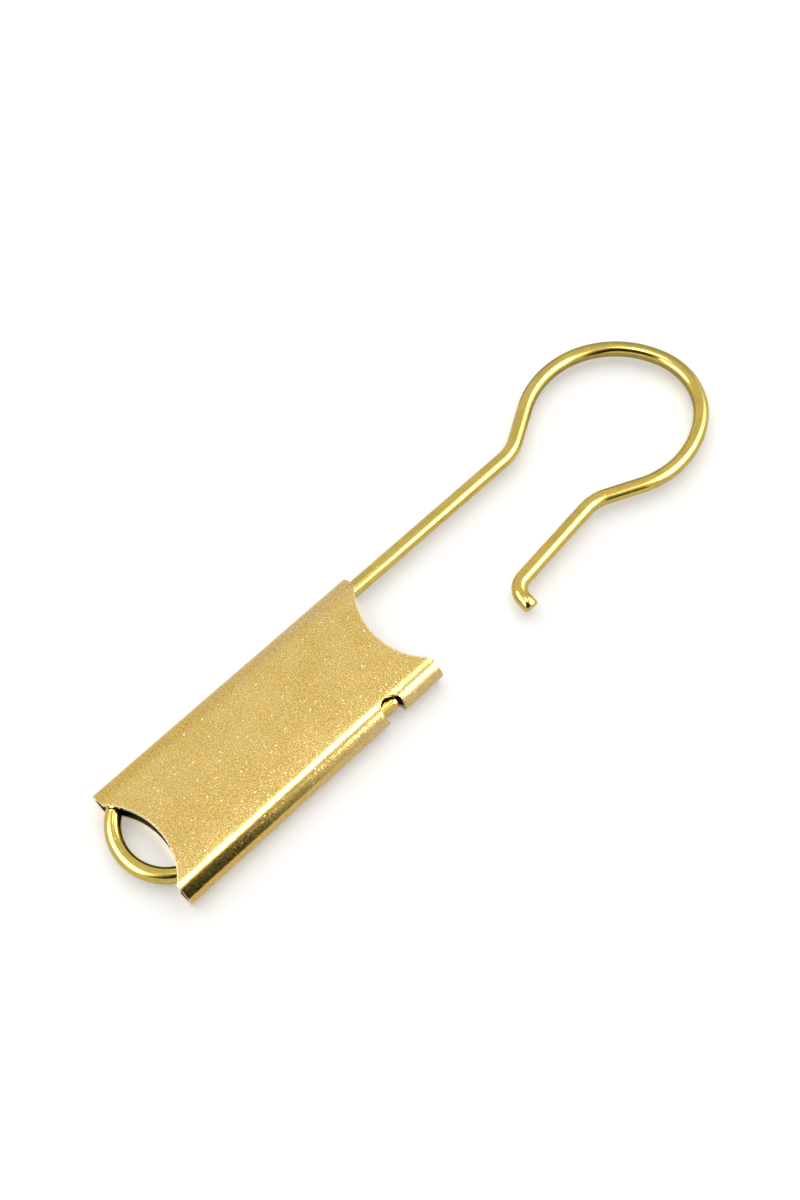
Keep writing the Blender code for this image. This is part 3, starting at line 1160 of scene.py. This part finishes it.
def add_floor_shade_cards():
    """Painted shade: grey card on the table round the loop and standing behind it, for the shaded floor
    there, which deepens the wire's flanks.
    """

    def between(low, high, at_low, at_high):
        """A card whose density goes from at_low to at_high as it rises from low to high."""

        def shape_of(tree, across, up):
            sides = eased_band(tree, across, *GREY_SIDE_SHARES)
            return times(tree, sides, map_range(tree, up, low, high, at_low, at_high))

        return shape_of

    paint = shade_paint("grey_sheet_paint", GREY_SHEET_LEVEL, between(0.0, 0.12, 0.0, 1.0))
    flat_card("grey_sheet", GREY_SHEET_PLACE, ACROSS, ALONG, GREY_SHEET_HALF_SIZE, paint)
    paint = shade_paint("grey_wall_paint", GREY_WALL_LEVEL, between(0.4, 1.0, 1.0, 0.0))
    flat_card("grey_wall", GREY_WALL_PLACE, ACROSS, UP, GREY_WALL_HALF_SIZE, paint)


def aim(thing, place, target):
    """Puts the thing at place, looking at target."""
    thing.location = place
    thing.rotation_euler = (Vector(target) - Vector(place)).to_track_quat("-Z", "Y").to_euler()


def add_lamp(settings):
    """A wide soft lamp for the table; its shape isn't mirrored in the metal."""
    lamp = bpy.data.lights.new("table_lamp", "AREA")
    lamp.shape = "DISK"
    lamp.size = LAMP_DIAMETER
    lamp.energy = settings.lamp_watts
    holder = add_object("table_lamp", lamp)
    holder.visible_glossy = False
    way = direction(LAMP_AZIMUTH, LAMP_ELEVATION)
    aim(holder, Vector(DOME_CENTRE) + way * LAMP_DISTANCE, DOME_CENTRE)


def add_camera(settings):
    """The camera that takes the main picture."""
    camera = bpy.data.cameras.new("camera")
    camera.sensor_fit = "VERTICAL"
    camera.sensor_height = SENSOR_HEIGHT
    camera.lens = settings.focal_share * SENSOR_HEIGHT
    camera.clip_start = CLIP_START
    holder = add_object("camera", camera)
    target = Vector(settings.view_target)
    way = direction(settings.view_azimuth, settings.view_elevation)
    aim(holder, target + way * settings.view_distance, target)
    bpy.context.scene.camera = holder


class KEYRING_OT_set_stage(bpy.types.Operator):
    """Lay the table, light it and place the camera"""

    bl_idname = "keyring.set_stage"
    bl_label = "Set Stage"
    bl_options = {"REGISTER", "UNDO"}

    def execute(self, context):
        settings = context.scene.keyring_stage
        add_table(settings)
        light_room(settings)
        add_window(settings)
        add_soft_box(settings)
        add_overhead_lamp(settings)
        add_dark_corner()
        add_floor_shade_cards()
        add_lamp(settings)
        add_camera(settings)
        context.scene.view_settings.view_transform = "Standard"
        return {"FINISHED"}


class KEYRING_PT_workshop(bpy.types.Panel):
    """The keyring's pieces, in the order they are made"""

    bl_idname = "KEYRING_PT_workshop"
    bl_label = "Keyring"
    bl_space_type = "VIEW_3D"
    bl_region_type = "UI"
    bl_category = "Keyring"

    def draw(self, context):
        for operator, settings in (
            ("keyring.add_hook_wire", context.scene.keyring_hook_wire),
            ("keyring.add_sleeve", context.scene.keyring_sleeve),
            ("keyring.set_stage", context.scene.keyring_stage),
        ):
            box = self.layout.box()
            box.operator(operator)
            for name in settings.__annotations__:
                box.prop(settings, name)


CLASSES = (
    HookWireSettings,
    SleeveSettings,
    StageSettings,
    KEYRING_OT_add_hook_wire,
    KEYRING_OT_add_sleeve,
    KEYRING_OT_set_stage,
    KEYRING_PT_workshop,
)


def register():
    for one in CLASSES:
        bpy.utils.register_class(one)
    bpy.types.Scene.keyring_hook_wire = PointerProperty(type=HookWireSettings)
    bpy.types.Scene.keyring_sleeve = PointerProperty(type=SleeveSettings)
    bpy.types.Scene.keyring_stage = PointerProperty(type=StageSettings)


def unregister():
    del bpy.types.Scene.keyring_stage
    del bpy.types.Scene.keyring_sleeve
    del bpy.types.Scene.keyring_hook_wire
    for one in reversed(CLASSES):
        bpy.utils.unregister_class(one)


def main():
    register()
    bpy.ops.keyring.add_hook_wire()
    bpy.ops.keyring.add_sleeve()
    bpy.ops.keyring.set_stage()


if __name__ == "__main__":
    main()
